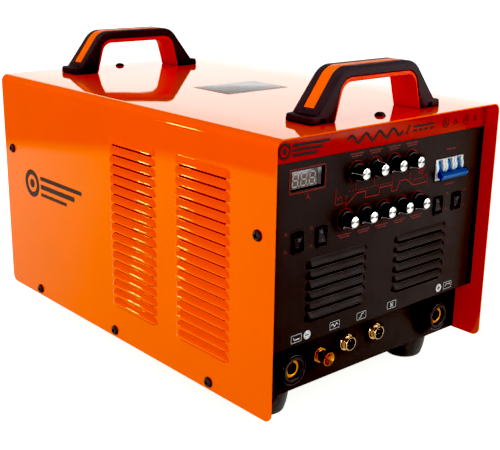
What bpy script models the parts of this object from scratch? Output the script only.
"""TIG welding machine: louvred cover, control front, output sockets, handles, feet and the parts inside.

Metres, +Z up. The front faces -Y and the right-hand side is +X. The origin is on the floor, under the
middle of the bounding box. Pieces that turn have their origin on their own axis.
"""

import math

import bmesh
import bpy
from mathutils import Matrix, Vector

GAP = 0.0003
SHEET = 0.0015

# Cover: one sheet folded over the machine, with pressed louvres in both sides.
COVER_WIDTH = 0.361
COVER_LENGTH = 0.560
COVER_HEIGHT = 0.3005
COVER_BOTTOM = 0.030
COVER_BEND = 0.010
COVER_CORNER = 0.010
BEND_STEPS = 5
LOUVRE_LENGTH = 0.094
LOUVRE_HEIGHT = 0.0095
LOUVRE_PITCH = 0.012
LOUVRE_DEPTH = 0.0043
LOUVRE_END = 0.007
SIDE_LOUVRES = 18
SIDE_LOUVRE_COLUMNS = (-0.165, -0.034)
SIDE_LOUVRE_TOP = 0.280
FRONT_LOUVRES = 6
FRONT_LOUVRE_COLUMNS = (-0.070, 0.070)
FRONT_LOUVRE_TOP = 0.1835

# Tray and panels inside the cover.
PANEL_HALF = 0.1787
PANEL_TOP = 0.3284
PANEL_CORNER = 0.009
FLANGE_HALF = 0.1767
FLANGE_DEPTH = 0.018
FLANGE_INSET = 0.001
FRONT_FACE = -0.262
FRONT_BOTTOM = 0.0975
HEADER_HALF = 0.1765
HEADER_BOTTOM = 0.301
HEADER_THICK = 0.0010
SOCKET_FACE = -0.240
SOCKET_PANEL_TOP = 0.104
REAR_FACE = 0.2565
TRAY_BOTTOM = 0.032
TRAY_FLANGE = 0.030
TRAY_TOP = TRAY_BOTTOM + SHEET + GAP

# Feet and handles.
FOOT_X = 0.122
FOOT_Y = (-0.205, 0.225)
FOOT_TOP_RADIUS = 0.0283
FOOT_WAIST_RADIUS = 0.0272
FOOT_BOTTOM_RADIUS = 0.0236
FOOT_TIP_RADIUS = 0.020
HANDLE_Y = (-0.2295, 0.229)
HANDLE_HALF_LENGTH = 0.104
HANDLE_DEPTH = 0.039
HANDLE_HEIGHT = 0.056
HANDLE_TOE_HEIGHT = 0.0085
HANDLE_TOE_LENGTH = 0.0095
HANDLE_CREST = 0.0587
HANDLE_BEND = 0.026
HANDLE_NOTCH_X = 0.0875
HANDLE_NOTCH = 0.0066
WINDOW_BASE = 0.0705
WINDOW_TOP = 0.0590
WINDOW_HEIGHT = 0.0455
WINDOW_BEND = 0.018
STRIP_WIDTH = 0.0155
STRIP_DEPTH = 0.0022
STRIP_START = 0.008
GRIP_THICK = 0.0052
GRIP_SIDE = 0.0022
GRIP_INSET = 0.0006

# Controls: name, place on the panel and the mark's angle, clockwise from 12 o'clock.
KNOBS = (
    ("knob_upslope", -0.0468, 0.2770, -90),
    ("knob_peak_current", -0.0168, 0.2770, 0),
    ("knob_base_current", 0.0137, 0.2770, -150),
    ("knob_downslope", 0.0437, 0.2770, -150),
    ("knob_start_current", -0.0613, 0.2265, -150),
    ("knob_pulse_width", -0.0308, 0.2265, -150),
    ("knob_pulse_frequency", -0.0008, 0.2265, -150),
    ("knob_ac_balance", 0.0292, 0.2265, -150),
    ("knob_post_flow", 0.0592, 0.2265, -150),
)
KNOB_LENGTH = 0.015
KNOB_SKIRT_RADIUS = 0.010
KNOB_BODY_RADIUS = 0.0078
KNOB_TIP_RADIUS = 0.0070
SHAFT_RADIUS = 0.003
SHAFT_LENGTH = 0.012
SHAFT_HOLE_RADIUS = 0.004
BOARD_FACE = -0.236
BOARD_THICK = 0.0016
POT_RADIUS = 0.008
POT_DEPTH = 0.010
POT_COLLAR_RADIUS = 0.0048

# Rocker switches: name, place and which half stands out: 1 the upper, -1 the lower.
SWITCHES = (
    ("switch_left_outer", -0.1308, 1),
    ("switch_left_inner", -0.0963, -1),
    ("switch_right_inner", 0.0987, -1),
    ("switch_right_outer", 0.1337, 1),
)
SWITCH_Z = 0.214
BEZEL_WIDTH = 0.015
BEZEL_HEIGHT = 0.021
BEZEL_PROUD = 0.0022
SWITCH_BODY_WIDTH = 0.013
SWITCH_BODY_HEIGHT = 0.019
SWITCH_BODY_DEPTH = 0.018
SWITCH_FIT = 0.0003
ROCKER_PIVOT = -0.257
ROCKER_WIDTH = 0.0109
ROCKER_TILT = 12.0
ROCKER_POCKET_WIDTH = 0.0114
ROCKER_POCKET_HEIGHT = 0.0182

DISPLAY_X = -0.1189
DISPLAY_Z = 0.2803
DISPLAY_WIDTH = 0.046
DISPLAY_HEIGHT = 0.020
DISPLAY_MARGIN = 0.002
DISPLAY_SUNK = 0.008

# Breaker: a three-pole body behind a window in the panel, and one tied toggle.
BREAKER_X = 0.1152
BREAKER_WINDOW = 0.052
BREAKER_WIDTH = 0.054
BREAKER_LOW = 0.2445
BREAKER_HIGH = 0.2705
POLE_PITCH = 0.0173
TOGGLE_Y = -0.253
TOGGLE_Z = 0.2605
TOGGLE_HUB_RADIUS = 0.0072
TOGGLE_TILT = 32.0

# Front sockets.
OUTPUTS = (("output_negative", -0.1258, 0.0670), ("output_positive", 0.1232, 0.0646))
OUTPUT_LENGTH = 0.0175
OUTPUT_RADIUS = 0.018
INSERT_RADIUS = 0.0103
INSERT_BORE = 0.0065
INSERT_SUNK = 0.0035
GAS_X = -0.0744
GAS_Z = 0.0655
GAS_NUT_RADIUS = 0.0098
CONTROL_SOCKETS = (("torch_socket", -0.0277, 0.0670, 2), ("remote_socket", 0.0212, 0.0676, 4))
CONTROL_RADIUS = 0.0082
CONTROL_FLANGE_RADIUS = 0.0103
PIN_CIRCLE = 0.0034
PIN_RADIUS = 0.0008

# Rear fan, gas inlet and cable gland.
FAN_Z = 0.112
FAN_RADIUS = 0.086
FAN_HALF_HEIGHT = 0.075
FAN_BORE = 0.071
FAN_DEPTH = 0.051
FAN_BLADES = 5
FAN_HUB_RADIUS = 0.031
FAN_HUB_LENGTH = 0.032
FAN_BLADE_TIP = 0.0675
FAN_Y = REAR_FACE - SHEET - GAP - FAN_DEPTH
ROTOR_Y = FAN_Y + 0.012
GUARD_RINGS = ((0.0120, 0.0180), (0.0280, 0.0305), (0.0435, 0.0460), (0.0590, 0.0615))
GUARD_RADIUS = 0.0775
GUARD_THICK = 0.003
GAS_INLET = (-0.125, 0.270)
CABLE_GLAND = (0.115, 0.262)
REAR_SLOTS = 5
REAR_SLOT_PITCH = 0.018
REAR_SLOT_LOW = 0.226

# Chassis deck and power parts.
DECK_HALF = 0.170
DECK_TOP = 0.178
DECK_Y = (-0.190, 0.196)
DECK_WINDOWS = ((-0.170, -0.010), (0.015, 0.176))
FIN_COUNT = 9
HF_COIL_X = 0.1258
FIN_THICK = 0.003
FIN_TIP = 0.118
FIN_ROOT = 0.168

MATERIALS = {
    "orange paint": ((0.90, 0.16, 0.01), 0.25, 0.0),
    "red paint": ((0.55, 0.02, 0.01), 0.40, 0.0),
    "black paint": ((0.020, 0.018, 0.018), 0.45, 0.0),
    "black plastic": ((0.020, 0.018, 0.020), 0.50, 0.0),
    "gloss black plastic": ((0.015, 0.015, 0.015), 0.20, 0.0),
    "orange plastic": ((0.88, 0.14, 0.01), 0.40, 0.0),
    "white plastic": ((0.60, 0.60, 0.58), 0.45, 0.0),
    "blue plastic": ((0.01, 0.09, 0.40), 0.30, 0.0),
    "rubber": ((0.020, 0.020, 0.020), 0.80, 0.0),
    "steel": ((0.55, 0.55, 0.56), 0.35, 1.0),
    "nickel": ((0.72, 0.66, 0.56), 0.25, 1.0),
    "brass": ((0.78, 0.52, 0.20), 0.30, 1.0),
    "aluminium": ((0.72, 0.72, 0.73), 0.40, 1.0),
    "circuit board": ((0.03, 0.20, 0.08), 0.50, 0.0),
    "ferrite": ((0.06, 0.06, 0.06), 0.70, 0.0),
    "copper wire": ((0.60, 0.26, 0.10), 0.35, 0.8),
}


def clear_scene():
    for obj in list(bpy.data.objects):
        bpy.data.objects.remove(obj, do_unlink=True)


def material(name):
    """The named material, made on first use."""
    if name in bpy.data.materials:
        return bpy.data.materials[name]
    colour, roughness, metallic = MATERIALS[name]
    made = bpy.data.materials.new(name)
    made.use_nodes = True
    shader = made.node_tree.nodes["Principled BSDF"]
    shader.inputs["Base Color"].default_value = (*colour, 1.0)
    shader.inputs["Roughness"].default_value = roughness
    shader.inputs["Metallic"].default_value = metallic
    return made


def solid(name, points, faces):
    """A mesh object with its faces turned outwards."""
    shape = bmesh.new()
    corners = [shape.verts.new(point) for point in points]
    for face in faces:
        shape.faces.new([corners[i] for i in face])
    bmesh.ops.recalc_face_normals(shape, faces=shape.faces)
    bmesh.ops.triangulate(shape, faces=shape.faces, ngon_method="EAR_CLIP")
    mesh = bpy.data.meshes.new(name)
    shape.to_mesh(mesh)
    shape.free()
    obj = bpy.data.objects.new(name, mesh)
    bpy.context.scene.collection.objects.link(obj)
    return obj


def place(obj, location=(0, 0, 0), rotation=(0, 0, 0)):
    obj.location = location
    obj.rotation_euler = [math.radians(angle) for angle in rotation]
    return obj


def combine(target, tools, operation):
    for tool in tools:
        modifier = target.modifiers.new(operation.lower(), "BOOLEAN")
        modifier.object = tool
        modifier.operation = operation
        modifier.solver = "EXACT"
        graph = bpy.context.evaluated_depsgraph_get()
        target.data = bpy.data.meshes.new_from_object(target.evaluated_get(graph))
        target.modifiers.clear()
        bpy.data.objects.remove(tool, do_unlink=True)
    return target


def cut(target, *tools):
    return combine(target, tools, "DIFFERENCE")


def join(target, *tools):
    return combine(target, tools, "UNION")


def finish(obj, surface, parent=None, centre=True):
    """Gives a piece its material, smooth shading, parent and, on request, an origin in its own middle."""
    if centre:
        middle = sum((Vector(corner) for corner in obj.bound_box), Vector()) / 8
        obj.data.transform(Matrix.Translation(-middle))
        obj.location = obj.location + middle
    obj.data.materials.clear()
    obj.data.materials.append(material(surface))
    obj.data.shade_smooth()
    obj.data.set_sharp_from_angle(angle=math.radians(30))
    obj.parent = parent or bpy.data.objects["machine"]
    return obj


def around(middle, size):
    return middle - size / 2, middle + size / 2


def box(name, x, y, z):
    """A block between the two values of each pair."""
    points = [(x[i & 1], y[i >> 1 & 1], z[i >> 2 & 1]) for i in range(8)]
    faces = [(0, 1, 3, 2), (4, 5, 7, 6), (0, 1, 5, 4), (2, 3, 7, 6), (0, 2, 6, 4), (1, 3, 7, 5)]
    return solid(name, points, faces)


def point_on(axis, a, b, along):
    """(a, b) are the other two coordinates, in x, y, z order."""
    return {"X": (along, a, b), "Y": (a, along, b), "Z": (a, b, along)}[axis]


def prism(name, outline, axis, span):
    """The outline swept along an axis. Its pairs are (y, z), (x, z) or (x, y) for X, Y or Z."""
    count = len(outline)
    points = [point_on(axis, a, b, along) for along in span for a, b in outline]
    faces = [tuple(range(count)), tuple(range(count, 2 * count))]
    faces += [(i, (i + 1) % count, count + (i + 1) % count, count + i) for i in range(count)]
    return solid(name, points, faces)


def lathe(name, profile, axis, segments=24, ring=False, at=(0.0, 0.0), turn=0.0):
    """A turned solid. profile holds (radius, position along the axis); ring joins its end to its start."""
    points, rows = [], []
    for radius, along in profile:
        steps = segments if radius > 0 else 1
        rows.append([len(points) + i for i in range(steps)])
        for i in range(steps):
            angle = math.tau * i / segments + turn
            a, b = at[0] + radius * math.cos(angle), at[1] + radius * math.sin(angle)
            points.append(point_on(axis, a, b, along))
    faces = []
    for low, high in zip(rows, rows[1:] + rows[:1] if ring else rows[1:]):
        for i in range(segments):
            corners = [low[i % len(low)], low[(i + 1) % len(low)]]
            corners += [high[(i + 1) % len(high)], high[i % len(high)]]
            corners = list(dict.fromkeys(corners))
            if len(corners) > 2:
                faces.append(corners)
    return solid(name, points, faces)


def disc(radius, axis, at, span, segments=24):
    profile = [(0, span[0]), (radius, span[0]), (radius, span[1]), (0, span[1])]
    return lathe("tool", profile, axis, segments, at=at)


def tube(radii, axis, span, segments=24, turn=0.0):
    profile = [(radii[0], span[0]), (radii[1], span[0]), (radii[1], span[1]), (radii[0], span[1])]
    return lathe("tool", profile, axis, segments, ring=True, turn=turn)


def rounded(corners, segments=5):
    """The outline through (a, b, radius) corners, each rounded by its radius."""
    outline = []
    for i, (a, b, radius) in enumerate(corners):
        here = Vector((a, b))
        before = (Vector(corners[i - 1][:2]) - here).normalized()
        after = (Vector(corners[(i + 1) % len(corners)][:2]) - here).normalized()
        if radius == 0:
            outline.append((a, b))
            continue
        half = before.angle(after) / 2
        reach = radius / math.tan(half)
        centre = here + (before + after).normalized() * radius / math.sin(half)
        start, end = here + before * reach - centre, here + after * reach - centre
        sweep = start.angle_signed(end)
        for step in range(segments + 1):
            outline.append(tuple(centre + Matrix.Rotation(-sweep * step / segments, 2) @ start))
    return outline


def mirrored(corners):
    return [(-x, z, radius) for x, z, radius in reversed(corners)]


def sheet(name, us, vs, louvres, spot):
    """A pressed sheet over the grid us by vs. Each louvre is (u0, u1, lip v, crest v), raised at its lip.

    spot(u, v, depth) is the point that lies depth outside the sheet's outer face.
    """

    def rise(u, v, cell):
        for u0, u1, lip, crest in louvres:
            over = u0 < cell[0] < u1 and min(lip, crest) <= cell[1] <= max(lip, crest)
            if over and abs(v - lip) < 1e-7 and u0 + 1e-7 < u < u1 - 1e-7:
                return LOUVRE_DEPTH
        return 0.0

    keys, points = {}, []

    def vertex(u, v, cell, layer):
        depth = rise(u, v, cell)
        key = (round(u, 6), round(v, 6), round(depth, 6), layer)
        if key not in keys:
            keys[key] = len(points)
            points.append(spot(u, v, depth - layer * SHEET))
        return keys[key]

    faces, rims = [], {}
    for u0, u1 in zip(us, us[1:]):
        for v0, v1 in zip(vs, vs[1:]):
            cell = ((u0 + u1) / 2, (v0 + v1) / 2)
            corners = [(u0, v0), (u1, v0), (u1, v1), (u0, v1)]
            depths = [rise(u, v, cell) for u, v in corners]
            if depths[1] + depths[3] > depths[0] + depths[2]:
                corners = corners[1:] + corners[:1]
            outer = [vertex(u, v, cell, 0) for u, v in corners]
            inner = [vertex(u, v, cell, 1) for u, v in corners]
            faces += [(outer[0], outer[1], outer[2]), (outer[0], outer[2], outer[3])]
            faces += [(inner[2], inner[1], inner[0]), (inner[3], inner[2], inner[0])]
            for i in range(4):
                edge = (outer[i], outer[(i + 1) % 4])
                if edge[::-1] in rims:
                    del rims[edge[::-1]]
                else:
                    rims[edge] = (inner[i], inner[(i + 1) % 4])
    for (a, b), (c, d) in rims.items():
        faces += [(b, a, c), (b, c, d)]
    return solid(name, points, faces)


def louvre_bank(middle, top, count):
    """The louvres of one column and the grid lines that they need along and across them."""
    left, right = around(middle, LOUVRE_LENGTH)
    lips = [top - i * LOUVRE_PITCH for i in range(count)]
    louvres = [(left, right, lip, lip + LOUVRE_HEIGHT) for lip in lips]
    across = {edge for lip in lips for edge in (lip, lip + LOUVRE_HEIGHT)}
    return louvres, {left, left + LOUVRE_END, right - LOUVRE_END, right}, across


def cover():
    half, top = COVER_WIDTH / 2, COVER_BOTTOM + COVER_HEIGHT
    side, arc = COVER_HEIGHT - COVER_BEND, math.pi * COVER_BEND / 2
    girth = 2 * (side + arc) + COVER_WIDTH - 2 * COVER_BEND
    edge = COVER_LENGTH / 2

    def spot(y, along, depth):
        """along runs up the left side, over the top and down the right side."""
        turn = -1 if along <= girth / 2 else 1
        run = min(along, girth - along)
        if abs(abs(y) - edge) < 1e-6 and run < COVER_CORNER:
            y = math.copysign(edge - COVER_CORNER + math.sqrt(COVER_CORNER**2 - (COVER_CORNER - run) ** 2), y)
        if run <= side:
            return turn * (half + depth), y, COVER_BOTTOM + run
        angle = min((run - side) / COVER_BEND, math.pi / 2)
        x = half - COVER_BEND + (COVER_BEND + depth) * math.cos(angle) - max(run - side - arc, 0.0)
        return turn * x, y, top - COVER_BEND + (COVER_BEND + depth) * math.sin(angle)

    lengths = {-edge, COVER_CORNER - edge, edge - COVER_CORNER, edge}
    heights = {side + arc * i / BEND_STEPS for i in range(BEND_STEPS + 1)}
    heights |= {COVER_CORNER * (1 - math.cos(math.pi * i / 8)) for i in range(5)}
    louvres = []
    for middle in SIDE_LOUVRE_COLUMNS:
        bank, along, across = louvre_bank(middle, SIDE_LOUVRE_TOP - COVER_BOTTOM, SIDE_LOUVRES)
        louvres += bank + [(u0, u1, girth - lip, girth - crest) for u0, u1, lip, crest in bank]
        lengths |= along
        heights |= across
    vs = sorted(heights | {girth - height for height in heights})
    finish(sheet("cover", sorted(lengths), vs, louvres, spot), "orange paint")


def base_tray():
    out, inn = PANEL_HALF, PANEL_HALF - SHEET
    low, high, top = TRAY_BOTTOM, TRAY_BOTTOM + SHEET, TRAY_BOTTOM + TRAY_FLANGE
    outline = [(-out, low), (out, low), (out, top), (inn, top), (inn, high), (-inn, high), (-inn, top),
               (-out, top)]
    tray = prism("base_tray", outline, "Y", (SOCKET_FACE + SHEET + GAP, REAR_FACE - SHEET - GAP))
    finish(tray, "black paint")


def side_flanges(y, z):
    """Flanges behind a panel, set in from its edges."""
    return [box("tool", sorted((side * (FLANGE_HALF - SHEET), side * FLANGE_HALF)), y, z) for side in (-1, 1)]


def edge_flange(half, y, low):
    return box("tool", (-half, half), y, (low, low + SHEET))


def plate(name, half, y, low):
    """A panel with its top corners rounded to suit the cover's bends."""
    corner = PANEL_CORNER - (PANEL_HALF - half)
    outline = [(-half, low, 0), (half, low, 0), (half, PANEL_TOP, corner), (-half, PANEL_TOP, corner)]
    return prism(name, rounded(outline, 4), "Y", y)


def front_sheet():
    """The face of the front panel, with its rounded top corners and its louvres."""
    shoulder = PANEL_TOP - PANEL_CORNER
    inner = PANEL_HALF - PANEL_CORNER

    def spot(x, z, depth):
        near = z - shoulder
        if abs(x) > PANEL_HALF - 1e-6 and near > 0:
            x = math.copysign(inner + math.sqrt(max(PANEL_CORNER**2 - near**2, 0.0)), x)
        return x, FRONT_FACE - depth, z

    widths = {-PANEL_HALF, -inner, inner, PANEL_HALF}
    heights = {FRONT_BOTTOM} | {shoulder + PANEL_CORNER * math.sin(math.pi * i / 8) for i in range(5)}
    louvres = []
    for middle in FRONT_LOUVRE_COLUMNS:
        bank, along, across = louvre_bank(middle, FRONT_LOUVRE_TOP, FRONT_LOUVRES)
        louvres += bank
        widths |= along
        heights |= across
    return sheet("front_panel", sorted(widths), sorted(heights), louvres, spot)


def front_panel():
    panel = front_sheet()
    inside = FRONT_FACE + SHEET / 2
    half = PANEL_HALF - PANEL_CORNER - FLANGE_INSET
    join(panel, *side_flanges((inside, FRONT_FACE + FLANGE_DEPTH),
                              (FRONT_BOTTOM + FLANGE_INSET, PANEL_TOP - PANEL_CORNER)))
    join(panel, edge_flange(half, (inside, SOCKET_FACE + 0.004), PANEL_TOP - SHEET - FLANGE_INSET / 2))
    join(panel, edge_flange(FLANGE_HALF + FLANGE_INSET, (inside, SOCKET_FACE - GAP),
                            FRONT_BOTTOM + FLANGE_INSET / 2))
    through = around(FRONT_FACE, 0.02)
    for _, x, z, _ in KNOBS:
        cut(panel, disc(SHAFT_HOLE_RADIUS, "Y", (x, z), through, 12))
    for _, x, _ in SWITCHES:
        cut(panel, box("tool", around(x, SWITCH_BODY_WIDTH + 2 * SWITCH_FIT), through,
                       around(SWITCH_Z, SWITCH_BODY_HEIGHT + 2 * SWITCH_FIT)))
    cut(panel, box("tool", around(DISPLAY_X, DISPLAY_WIDTH), through, around(DISPLAY_Z, DISPLAY_HEIGHT)))
    cut(panel, box("tool", around(BREAKER_X, BREAKER_WINDOW), through, (BREAKER_LOW, BREAKER_HIGH)))
    finish(panel, "black paint")


def header_plate():
    back = FRONT_FACE - GAP
    finish(plate("header_plate", HEADER_HALF, (back - HEADER_THICK, back), HEADER_BOTTOM), "red paint")


def socket_panel():
    face = (SOCKET_FACE, SOCKET_FACE + SHEET)
    panel = box("socket_panel", (-PANEL_HALF, PANEL_HALF), face, (TRAY_BOTTOM, SOCKET_PANEL_TOP))
    join(panel, *side_flanges((SOCKET_FACE + SHEET / 2, SOCKET_FACE + FLANGE_DEPTH),
                              (TRAY_TOP + FLANGE_INSET, SOCKET_PANEL_TOP - FLANGE_INSET)))
    through = around(SOCKET_FACE, 0.02)
    for _, x, z in OUTPUTS:
        cut(panel, disc(0.0150, "Y", (x, z), through))
    cut(panel, disc(0.0075, "Y", (GAS_X, GAS_Z), through, 16))
    for _, x, z, _ in CONTROL_SOCKETS:
        cut(panel, disc(CONTROL_RADIUS, "Y", (x, z), through, 20))
    finish(panel, "black paint")


def rear_panel():
    inside = REAR_FACE - SHEET
    panel = plate("rear_panel", PANEL_HALF, (inside, REAR_FACE), TRAY_BOTTOM)
    flange = (REAR_FACE - FLANGE_DEPTH, inside + SHEET / 2)
    join(panel, *side_flanges(flange, (TRAY_TOP + FLANGE_INSET, PANEL_TOP - PANEL_CORNER)))
    half = PANEL_HALF - PANEL_CORNER - FLANGE_INSET
    join(panel, edge_flange(half, flange, PANEL_TOP - SHEET - FLANGE_INSET / 2))
    through = around(REAR_FACE, 0.02)
    cut(panel, disc(FAN_BORE, "Y", (0.0, FAN_Z), through, 32))
    cut(panel, disc(0.0075, "Y", GAS_INLET, through, 16))
    cut(panel, disc(0.0140, "Y", CABLE_GLAND, through, 20))
    for i in range(REAR_SLOTS):
        low = REAR_SLOT_LOW + i * REAR_SLOT_PITCH
        cut(panel, box("tool", (-0.060, 0.050), through, (low, low + 0.006)))
    finish(panel, "black paint")


def foot(name, x, y):
    top = TRAY_BOTTOM - GAP
    profile = [(0, 0), (FOOT_TIP_RADIUS, 0), (FOOT_BOTTOM_RADIUS - 0.0012, 0.0011),
               (FOOT_BOTTOM_RADIUS, 0.004), (FOOT_WAIST_RADIUS, 0.018), (FOOT_TOP_RADIUS, top - 0.003),
               (FOOT_TOP_RADIUS, top), (0, top)]
    finish(place(lathe(name, profile, "Z", 20), (x, y, 0)), "rubber", centre=False)


def handle_outline():
    """The front view of a handle body: the outer side from left to right, then the inner side back."""
    toe = HANDLE_HALF_LENGTH - HANDLE_TOE_LENGTH
    outer = [(-HANDLE_HALF_LENGTH, 0.0, 0), (-HANDLE_HALF_LENGTH, HANDLE_TOE_HEIGHT, 0.003),
             (-toe, HANDLE_TOE_HEIGHT, 0.002), (-HANDLE_CREST, HANDLE_HEIGHT, HANDLE_BEND)]
    inner = [(WINDOW_BASE, 0.0, 0), (WINDOW_TOP, WINDOW_HEIGHT, WINDOW_BEND)]
    return outer + mirrored(outer) + inner + mirrored(inner)


def strip_outline(depth, lift):
    """A band along the top and both legs of the handle, sunk by depth and standing lift above it."""
    foot_end = Vector((HANDLE_TOE_LENGTH - HANDLE_HALF_LENGTH, HANDLE_TOE_HEIGHT))
    crest = Vector((-HANDLE_CREST, HANDLE_HEIGHT))
    along = (crest - foot_end).normalized()
    out = Vector((-along.y, along.x))

    def half(shift):
        first, corner = foot_end + along * STRIP_START + out * shift, crest + out * shift
        corner += along * ((HANDLE_HEIGHT + shift - corner.y) / along.y)
        return [(first.x, first.y, 0), (corner.x, corner.y, HANDLE_BEND + shift)]

    upper, lower = half(lift), half(-depth)
    return upper + mirrored(upper) + mirrored(lower[::-1]) + lower[::-1]


def grip_outline():
    """The lining of the handle's window, open at its foot."""
    outer = [(WINDOW_BASE - GAP, 0.0, 0), (WINDOW_TOP - GAP, WINDOW_HEIGHT - GAP, WINDOW_BEND - GAP)]
    inner = [(WINDOW_BASE - GRIP_SIDE, 0.0, 0),
             (WINDOW_TOP - GRIP_SIDE, WINDOW_HEIGHT - GRIP_THICK, WINDOW_BEND - 0.003)]
    return outer + mirrored(outer) + mirrored(inner[::-1]) + inner[::-1]


def handle(name, y):
    depth, half = HANDLE_DEPTH / 2, STRIP_WIDTH / 2
    holder = bpy.data.objects.new(name, None)
    holder.location = (0, y, COVER_BOTTOM + COVER_HEIGHT + GAP)
    holder.parent = bpy.data.objects["machine"]
    bpy.context.scene.collection.objects.link(holder)
    body = prism(f"{name}_body", rounded(handle_outline()), "Y", (-depth, depth))
    cut(body, prism("tool", rounded(strip_outline(STRIP_DEPTH, 0.004)), "Y", (-half, half)))
    for side in (-1, 1):
        notch = around(side * HANDLE_NOTCH_X, HANDLE_NOTCH)
        cut(body, box("tool", notch, around(-depth, 0.01), (-0.004, 0.005)))
    strip = rounded(strip_outline(STRIP_DEPTH - GAP, 0.0))
    strip = prism(f"{name}_strip", strip, "Y", (GAP - half, half - GAP))
    grip = prism(f"{name}_grip", rounded(grip_outline()), "Y", (GRIP_INSET - depth, depth - GRIP_INSET))
    finish(body, "black plastic", holder, centre=False)
    finish(strip, "orange plastic", holder, centre=False)
    finish(grip, "orange plastic", holder, centre=False)


def ammeter():
    x = around(DISPLAY_X, DISPLAY_WIDTH + 2 * DISPLAY_MARGIN)
    z = around(DISPLAY_Z, DISPLAY_HEIGHT + 2 * DISPLAY_MARGIN)
    finish(box("ammeter", x, (FRONT_FACE + DISPLAY_SUNK, BOARD_FACE - GAP), z), "gloss black plastic")


def knob(name, x, z, mark):
    """A skirted knob on its shaft, with a rib for its mark. The face looks along -Y."""
    profile = [(0, -KNOB_LENGTH), (KNOB_TIP_RADIUS - 0.0006, -KNOB_LENGTH),
               (KNOB_TIP_RADIUS, 0.0008 - KNOB_LENGTH), (KNOB_BODY_RADIUS, -0.0034),
               (KNOB_SKIRT_RADIUS, -0.0028), (KNOB_SKIRT_RADIUS, -0.0006),
               (SHAFT_RADIUS, -0.0006), (SHAFT_RADIUS, SHAFT_LENGTH), (0, SHAFT_LENGTH)]
    body = lathe(name, profile, "Y", 16)
    join(body, box("tool", around(0, 0.0012), (0.0016 - KNOB_LENGTH, -0.0020), (0.0060, 0.0088)))
    finish(place(body, (x, FRONT_FACE, z), (0, mark, 0)), "gloss black plastic", centre=False)


def control_board():
    """The board behind the knobs, with a potentiometer for each of them."""
    board = box("control_board", (-0.160, 0.080), (BOARD_FACE, BOARD_FACE + BOARD_THICK), (0.206, 0.298))
    can, collar = BOARD_FACE - POT_DEPTH, FRONT_FACE + SHEET + GAP
    bore, floor = SHAFT_RADIUS + GAP, FRONT_FACE + SHAFT_LENGTH + 0.002
    root = BOARD_FACE + BOARD_THICK / 2
    profile = [(0, root), (POT_RADIUS, root), (POT_RADIUS, can), (POT_COLLAR_RADIUS, can),
               (POT_COLLAR_RADIUS, collar), (bore, collar), (bore, floor), (0, floor)]
    for _, x, z, _ in KNOBS:
        join(board, lathe("tool", profile, "Y", 10, at=(x, z)))
    finish(board, "circuit board")


def rocker_switch(name, x, state):
    front, back = FRONT_FACE - BEZEL_PROUD, FRONT_FACE + SWITCH_BODY_DEPTH
    housing = box(f"{name}_housing", around(x, SWITCH_BODY_WIDTH), (front + 0.001, back),
                  around(SWITCH_Z, SWITCH_BODY_HEIGHT))
    bezel = around(x, BEZEL_WIDTH)
    join(housing, box("tool", bezel, (front, FRONT_FACE - GAP), around(SWITCH_Z, BEZEL_HEIGHT)))
    cut(housing, box("tool", around(x, ROCKER_POCKET_WIDTH), (front - 0.002, ROCKER_PIVOT + 0.0035),
                     around(SWITCH_Z, ROCKER_POCKET_HEIGHT)))
    for side in (-1, 1):
        join(housing, box("tool", around(x, 0.0048), (back - 0.002, back + 0.0065),
                          around(SWITCH_Z + side * 0.005, 0.0008)))
    finish(housing, "gloss black plastic")
    outline = [(-0.0070, 0.0), (-0.00538, 0.0076), (-0.0038, 0.0076), (0.0024, 0.0030), (0.0024, -0.0030),
               (-0.0038, -0.0076), (-0.00538, -0.0076)]
    rocker = prism(f"{name}_rocker", outline, "X", around(0, ROCKER_WIDTH))
    place(rocker, (x, ROCKER_PIVOT, SWITCH_Z), (state * ROCKER_TILT, 0, 0))
    finish(rocker, "gloss black plastic", centre=False)


def breaker():
    poles = [pole * POLE_PITCH for pole in (-1, 0, 1)]
    nose = around(BREAKER_X, BREAKER_WINDOW - 0.0008)
    body = box("breaker_body", around(BREAKER_X, BREAKER_WIDTH), (-0.231, -0.190), (0.217, 0.298))
    join(body, box("tool", around(BREAKER_X, BREAKER_WIDTH - 0.001), (-0.258, -0.229), (0.235, 0.280)))
    join(body, box("tool", nose, (-0.2625, -0.240), (BREAKER_LOW + 0.0004, BREAKER_HIGH - 0.0004)))
    join(body, disc(0.0098, "X", (TOGGLE_Y - 0.001, TOGGLE_Z - 0.001), nose, 20))
    for pole in poles:
        cut(body, box("tool", around(BREAKER_X + pole, 0.0084), (-0.280, TOGGLE_Y + 0.0085),
                      (TOGGLE_Z - 0.0120, TOGGLE_Z + 0.0088)))
    finish(body, "white plastic")
    toggle = box("breaker_toggle", around(0, 0.055), (-0.0215, -0.0145), (-0.0032, 0.0036))
    for pole in poles:
        join(toggle, box("tool", around(pole, 0.0072), (-0.0165, 0.0), (-0.0024, 0.0024)))
        join(toggle, disc(TOGGLE_HUB_RADIUS, "X", (0.0, 0.0), around(pole, 0.0076), 12))
    place(toggle, (BREAKER_X, TOGGLE_Y, TOGGLE_Z), (TOGGLE_TILT, 0, 0))
    finish(toggle, "blue plastic", centre=False)


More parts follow.
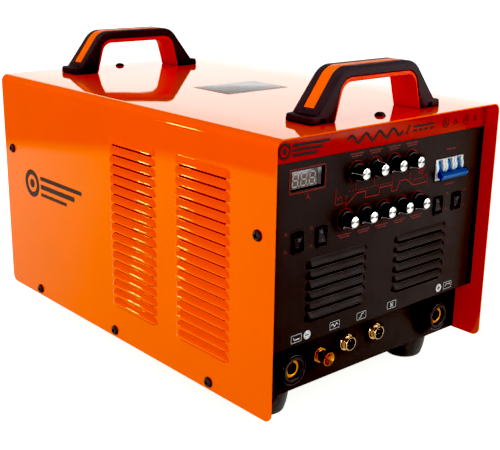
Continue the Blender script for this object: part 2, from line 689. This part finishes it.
def output_socket(name, x, z):
    """A plug-in output: an insulating housing round a brass insert. Lengths are from the socket panel."""
    location = (x, SOCKET_FACE, z)
    bore, shank, back, front = INSERT_RADIUS + GAP, 0.0147, 0.014, -OUTPUT_LENGTH
    profile = [(bore, front + 0.001), (bore + 0.001, front), (OUTPUT_RADIUS - 0.0015, front),
               (OUTPUT_RADIUS, front + 0.0015), (OUTPUT_RADIUS, -GAP), (shank, -GAP), (shank, back),
               (bore, back)]
    housing = lathe(f"{name}_housing", profile, "Y", 20, ring=True)
    finish(place(housing, location), "black plastic", centre=False)
    mouth, stud = front + INSERT_SUNK, 0.005
    profile = [(0, 0.040), (stud, 0.040), (stud, 0.022), (INSERT_RADIUS, 0.022), (INSERT_RADIUS, mouth),
               (INSERT_BORE, mouth), (INSERT_BORE, 0.014), (0, 0.014)]
    finish(place(lathe(f"{name}_insert", profile, "Y", 20), location), "brass", centre=False)


def gas_outlet():
    profile = [(0.0030, 0.025), (0.0030, -0.010), (0.0055, -0.0195), (0.0068, -0.0200), (0.0074, -0.0192),
               (0.0074, -0.0070), (0.0070, -0.0045), (0.0070, 0.011), (0.0045, 0.011), (0.0045, 0.025)]
    body = lathe("gas_outlet", profile, "Y", 16, ring=True)
    join(body, tube((0.0060, GAS_NUT_RADIUS), "Y", (-0.0063, -GAP), 6, turn=math.pi / 6))
    finish(place(body, (GAS_X, SOCKET_FACE, GAS_Z)), "brass", centre=False)


def control_socket(name, x, z, pins):
    barrel, flange, bore = CONTROL_RADIUS, CONTROL_FLANGE_RADIUS, 0.0068
    profile = [(0, 0.003), (bore, 0.003), (bore, -0.0092), (bore + 0.0004, -0.0096), (barrel, -0.0090),
               (barrel, -0.0025), (flange, -0.0025), (flange, -GAP), (0.0079, -GAP), (0.0079, 0.008),
               (0.0060, 0.008), (0.0060, 0.014), (0, 0.014)]
    body = lathe(name, profile, "Y", 18)
    for i in range(pins):
        angle = math.tau * i / pins + math.pi / 4
        centre = (PIN_CIRCLE * math.cos(angle), PIN_CIRCLE * math.sin(angle))
        join(body, disc(PIN_RADIUS, "Y", centre, (-0.0045, 0.004), 6))
    finish(place(body, (x, SOCKET_FACE, z)), "nickel", centre=False)


def fan_frame():
    profile = [(FAN_BORE, 0), (FAN_RADIUS, 0), (FAN_RADIUS, FAN_DEPTH), (FAN_BORE, FAN_DEPTH)]
    frame = lathe("fan_frame", profile, "Y", 36, ring=True)
    for side in (-1, 1):
        flat = sorted((side * FAN_HALF_HEIGHT, side * 0.100))
        cut(frame, box("tool", (-0.1, 0.1), (-0.01, FAN_DEPTH + 0.01), flat))
    for i in range(3):
        arm = box("tool", (0.020, FAN_BORE + 0.003), (0.002, 0.008), (-0.003, 0.003))
        join(frame, place(arm, rotation=(0, 120 * i + 30, 0)))
    join(frame, disc(0.026, "Y", (0, 0), (0.001, 0.010)))
    finish(place(frame, (0, FAN_Y, FAN_Z)), "black plastic", centre=False)


def fan_blade(index):
    """A pitched blade from inside the hub to its tip."""
    thick, points = 0.0009, []
    for radius, sweep in ((FAN_HUB_RADIUS - 0.003, 0.46), (0.048, 0.40), (FAN_BLADE_TIP, 0.34)):
        for along, angle in ((0.004, -sweep), (0.028, sweep)):
            for shift in (-thick, thick):
                turn = math.tau * index / FAN_BLADES + angle
                points.append((radius * math.cos(turn) - shift * math.sin(turn), along,
                               radius * math.sin(turn) + shift * math.cos(turn)))
    faces = [(0, 1, 3, 2), (8, 9, 11, 10)]
    for row in (0, 4):
        faces += [(row + a, row + b, row + 4 + b, row + 4 + a) for a, b in ((0, 1), (1, 3), (3, 2), (2, 0))]
    return solid("tool", points, faces)


def fan_rotor():
    hub, back = FAN_HUB_RADIUS, FAN_HUB_LENGTH
    profile = [(0, 0), (hub - 0.002, 0), (hub, 0.002), (hub, back - 0.002), (hub - 0.003, back), (0, back)]
    rotor = lathe("fan_rotor", profile, "Y", 20)
    join(rotor, *[fan_blade(i) for i in range(FAN_BLADES)])
    finish(place(rotor, (0, ROTOR_Y, FAN_Z)), "black plastic", centre=False)


def fan_guard():
    guard = lathe("fan_guard", [(GUARD_RADIUS - 0.003, 0), (GUARD_RADIUS, 0), (GUARD_RADIUS, GUARD_THICK),
                                (GUARD_RADIUS - 0.003, GUARD_THICK)], "Y", 28, ring=True)
    for angle in (45, -45):
        bar = box("tool", (-0.086, 0.086), (0.0002, GUARD_THICK - 0.0002), (-0.0028, 0.0028))
        join(guard, place(bar, rotation=(0, angle, 0)))
    join(guard, *[tube(radii, "Y", (0.0005, GUARD_THICK - 0.0005), 16) for radii in GUARD_RINGS])
    finish(place(guard, (0, REAR_FACE + GAP, FAN_Z)), "steel", centre=False)


def gas_inlet():
    profile = [(0.0032, -0.0135), (0.0064, -0.0135), (0.0064, GAP), (0.0098, GAP), (0.0098, 0.0043),
               (0.0052, 0.0043), (0.0062, 0.0083), (0.0050, 0.0128), (0.0060, 0.0133), (0.0048, 0.0183),
               (0.0032, 0.0183)]
    inlet = lathe("gas_inlet", profile, "Y", 16, ring=True)
    finish(place(inlet, (GAS_INLET[0], REAR_FACE, GAS_INLET[1])), "brass", centre=False)


def cable_gland():
    profile = [(0.0080, -0.0165), (0.0135, -0.0165), (0.0135, GAP), (0.0180, GAP), (0.0180, 0.0063),
               (0.0165, 0.0073), (0.0165, 0.0163), (0.0130, 0.0213), (0.0080, 0.0213)]
    gland = lathe("cable_gland", profile, "Y", 20, ring=True)
    finish(place(gland, (CABLE_GLAND[0], REAR_FACE, CABLE_GLAND[1])), "black plastic", centre=False)


def deck_plate():
    half, inner, low, under = DECK_HALF, DECK_HALF - SHEET, TRAY_TOP, DECK_TOP - SHEET
    outline = [(-half, low), (-half, DECK_TOP), (half, DECK_TOP), (half, low), (inner, low), (inner, under),
               (-inner, under), (-inner, low)]
    deck = prism("deck_plate", outline, "Y", DECK_Y)
    for span in DECK_WINDOWS:
        cut(deck, box("tool", (-0.2, 0.2), span, (0.050, 0.160)))
    finish(deck, "steel")


def heatsink(name, left, right):
    """A finned extrusion that hangs from the deck, its fins along the air flow."""
    pitch = (right - left - FIN_THICK) / (FIN_COUNT - 1)
    outline = [(left, DECK_TOP - SHEET - GAP), (right, DECK_TOP - SHEET - GAP)]
    for i in reversed(range(FIN_COUNT)):
        edge = left + i * pitch
        comb = [(edge + FIN_THICK, FIN_ROOT), (edge + FIN_THICK, FIN_TIP), (edge, FIN_TIP), (edge, FIN_ROOT)]
        first, last = i == FIN_COUNT - 1, i == 0
        outline += comb[1 if first else 0:3 if last else 4]
    finish(prism(name, outline, "Y", (-0.030, 0.185)), "aluminium")


def power_board():
    """The board on the deck, with its standoffs, capacitors, relays and chokes."""
    low, top = DECK_TOP + GAP + 0.010, DECK_TOP + GAP + 0.012
    board = box("power_board", (-0.150, 0.150), (-0.160, 0.150), (low, top))
    for x in (-0.140, 0.140):
        for y in (-0.150, 0.140):
            join(board, disc(0.0035, "Z", (x, y), (DECK_TOP + GAP, low + 0.001), 8))
    for x in (-0.100, -0.035, 0.035, 0.100):
        join(board, disc(0.0175, "Z", (x, -0.090), (low + 0.001, low + 0.051), 14))
    for y in (-0.020, 0.040, 0.100):
        join(board, box("tool", (-0.090, -0.040), (y, y + 0.028), (low + 0.001, low + 0.020)))
        join(board, box("tool", (0.030, 0.110), (y, y + 0.016), (low + 0.001, low + 0.026)))
    finish(board, "circuit board")


def wound_core(name, half, y, height, leg):
    """A core with two windows, standing on the tray, and the coil that fills them round its middle leg."""
    low, top = TRAY_TOP, TRAY_TOP + height
    core = box(f"{name}_core", (-half, half), y, (low, top))
    window = (leg + GAP, half - leg)
    for side in (-1, 1):
        span = sorted((side * window[0], side * window[1]))
        cut(core, box("tool", span, (y[0] - 0.01, y[1] + 0.01), (low + leg, top - leg)))
    coil, room = window[1] - 0.003, 0.016
    winding = box(f"{name}_winding", (-coil, coil), (y[0] - room, y[1] + room),
                  (low + leg + 0.001, top - leg - 0.001))
    cut(winding, box("tool", (-leg - 2 * GAP, leg + 2 * GAP), (y[0] - 2 * GAP, y[1] + 2 * GAP), (low, top)))
    finish(core, "ferrite")
    finish(winding, "copper wire")


def hf_coil():
    profile = [(0.016, -0.012), (0.018, -0.014), (0.034, -0.014), (0.036, -0.012), (0.036, 0.012),
               (0.034, 0.014), (0.018, 0.014), (0.016, 0.012)]
    coil = lathe("hf_coil", profile, "Z", 18, ring=True)
    finish(place(coil, (HF_COIL_X, -0.155, TRAY_TOP + 0.0145)), "copper wire", centre=False)


def gas_valve():
    x, z = GAS_INLET
    back = REAR_FACE - SHEET - GAP
    body = box("gas_valve", around(x, 0.028), (back - 0.044, back - 0.004), around(z, 0.028))
    join(body, box("tool", around(x, 0.034), (back - 0.043, back - 0.006), (z - 0.052, z - 0.013)))
    join(body, disc(0.006, "Y", (x, z), (back - 0.060, back - 0.040), 12))
    cut(body, disc(0.0068, "Y", (x, z), (back - 0.020, back + 0.010), 12))
    finish(body, "brass")


def build():
    clear_scene()
    bpy.context.scene.collection.objects.link(bpy.data.objects.new("machine", None))
    cover()
    base_tray()
    front_panel()
    header_plate()
    socket_panel()
    rear_panel()
    for end, foot_y, handle_y in zip(("front", "rear"), FOOT_Y, HANDLE_Y):
        handle(f"{end}_handle", handle_y)
        foot(f"foot_{end}_left", -FOOT_X, foot_y)
        foot(f"foot_{end}_right", FOOT_X, foot_y)
    ammeter()
    for entry in KNOBS:
        knob(*entry)
    control_board()
    for entry in SWITCHES:
        rocker_switch(*entry)
    breaker()
    for entry in OUTPUTS:
        output_socket(*entry)
    gas_outlet()
    for entry in CONTROL_SOCKETS:
        control_socket(*entry)
    fan_frame()
    fan_rotor()
    fan_guard()
    gas_inlet()
    cable_gland()
    gas_valve()
    deck_plate()
    heatsink("heatsink_inverter", -0.155, -0.020)
    heatsink("heatsink_rectifier", 0.020, 0.155)
    power_board()
    wound_core("main_transformer", 0.045, (0.070, 0.120), 0.078, 0.013)
    wound_core("output_reactor", 0.050, (-0.130, -0.080), 0.086, 0.015)
    hf_coil()


build()
